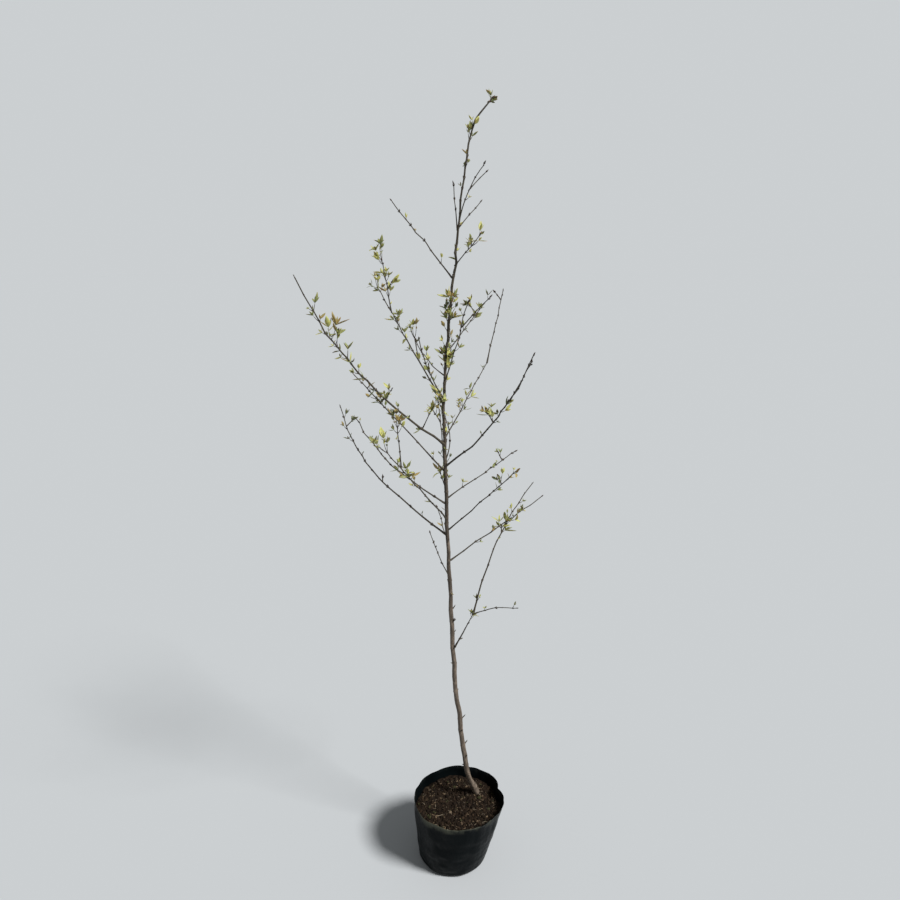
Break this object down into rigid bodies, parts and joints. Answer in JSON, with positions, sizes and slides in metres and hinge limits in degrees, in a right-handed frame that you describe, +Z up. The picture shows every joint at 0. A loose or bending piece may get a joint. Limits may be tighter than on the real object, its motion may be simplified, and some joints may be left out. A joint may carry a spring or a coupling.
{
  "type": "potted sapling",
  "caption": "Slim young deciduous tree just coming into leaf, bare boughs rising from a slender stem, in a soft black nursery pot of soil.",
  "frame": {"origin": "centre of the pot's flat underside, on the surface that the pot stands on", "axes": "+Z up along the trunk; +X to the right and +Y to the back as the plant is first seen"},
  "size_m": [0.389, 0.3502, 1.4242],
  "materials": {
    "pot_film": "satin",
    "soil": "matte",
    "bark": "matte",
    "twig_bark": "matte",
    "leaf": "matte"
  },
  "bodies": {
    "root": {"pot": "pot_film", "soil": "soil", "trunk": "bark", "bough_01": "twig_bark", "bough_01_upper": "twig_bark", "bough_01_outer": "twig_bark", "bough_02": "twig_bark", "bough_03": "twig_bark", "bough_04": "twig_bark", "bough_05": "twig_bark", "bough_06": "twig_bark", "bough_07": "twig_bark", "bough_07_side": "twig_bark", "bough_08": "twig_bark", "bough_09": "twig_bark", "bough_10": "twig_bark", "bough_10_side": "twig_bark", "bough_11": "twig_bark", "bough_11_side": "twig_bark", "bough_12": "twig_bark", "bough_13": "twig_bark", "bough_13_side": "twig_bark", "bough_14": "twig_bark", "bough_14_upper": "twig_bark", "bough_15": "twig_bark", "bough_15_upper": "twig_bark", "bough_15_side": "twig_bark", "bough_16": "twig_bark", "bough_17": "twig_bark", "bough_17_side": "twig_bark", "bough_18": "twig_bark", "bough_19": "twig_bark", "bough_20": "twig_bark", "bough_21": "twig_bark", "bough_22": "twig_bark", "bough_23": "twig_bark", "bough_24": "twig_bark", "bough_24_side": "twig_bark", "leaves_on_bough_01": "leaf", "leaves_on_bough_07_low": "leaf", "leaves_on_bough_07_tip": "leaf", "leaves_on_bough_07_side": "leaf", "leaves_on_bough_10": "leaf", "leaves_on_bough_13_high": "leaf", "leaves_on_bough_13_side": "leaf", "leaves_on_bough_14": "leaf", "leaves_on_bough_15_middle": "leaf", "leaves_on_bough_15_tip": "leaf", "leaves_on_bough_15_upper": "leaf", "leaves_on_bough_15_inner": "leaf", "leaves_on_bough_15_side": "leaf", "leaves_on_bough_21": "leaf", "leaves_on_trunk_low": "leaf", "leaves_on_trunk_middle": "leaf", "leaves_on_trunk_high": "leaf", "leaves_on_trunk_tip": "leaf"}
  },
  "joints": []
}
